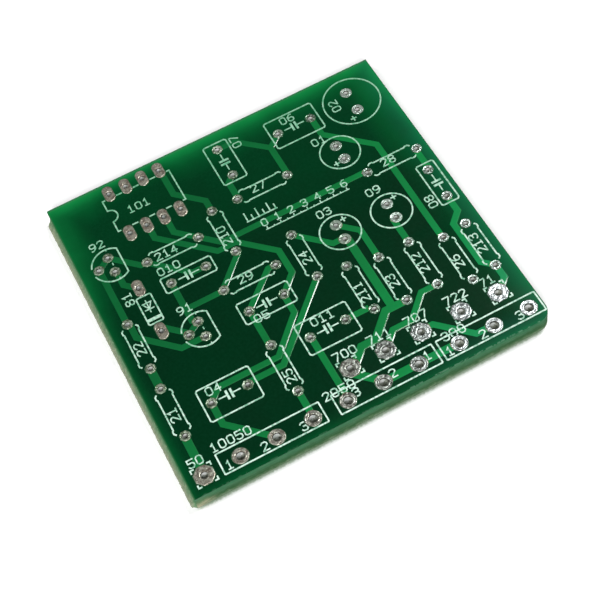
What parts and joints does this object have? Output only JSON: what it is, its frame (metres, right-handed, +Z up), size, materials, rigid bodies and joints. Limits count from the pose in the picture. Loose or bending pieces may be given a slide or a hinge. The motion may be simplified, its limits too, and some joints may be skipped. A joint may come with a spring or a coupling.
{
  "type": "bare circuit board",
  "caption": "Square green double-sided circuit board with tinned plated holes, white printed outlines and no components fitted.",
  "frame": {"origin": "centre of the board's outline, at the underside it lies on", "axes": "+X to the right along the front edge, +Y to the back, +Z up out of the printed side"},
  "size_m": [0.0508, 0.0498, 0.0025],
  "materials": {
    "laminate": "glass-fibre and epoxy laminate, sawn and snapped edges",
    "copper": "copper foil under the mask; brass stands in for copper",
    "solder_mask": "glossy green solder mask, lighter where it lies on copper",
    "ink": "thin white screen-printed ink",
    "tin": "hot-levelled tin, mottled satin; steel stands in for tin"
  },
  "bodies": {
    "root": {"laminate": "laminate", "top_copper": "copper", "underside_copper": "copper", "top_mask": "solder_mask", "underside_mask": "solder_mask", "resistor_marking": "ink", "capacitor_marking": "ink", "device_marking": "ink", "connector_marking": "ink", "printed_scale": "ink", "ic_pads": "tin", "diode_pads": "tin", "transistor_1_pads": "tin", "transistor_2_pads": "tin", "resistor_pads": "tin", "film_capacitor_pads": "tin", "electrolytic_pads": "tin", "pot_1_pads": "tin", "pot_2_pads": "tin", "pot_3_pads": "tin", "supply_pad": "tin", "ground_pad": "tin", "switch_pads": "tin", "output_pad": "tin", "input_pad": "tin"}
  },
  "joints": []
}
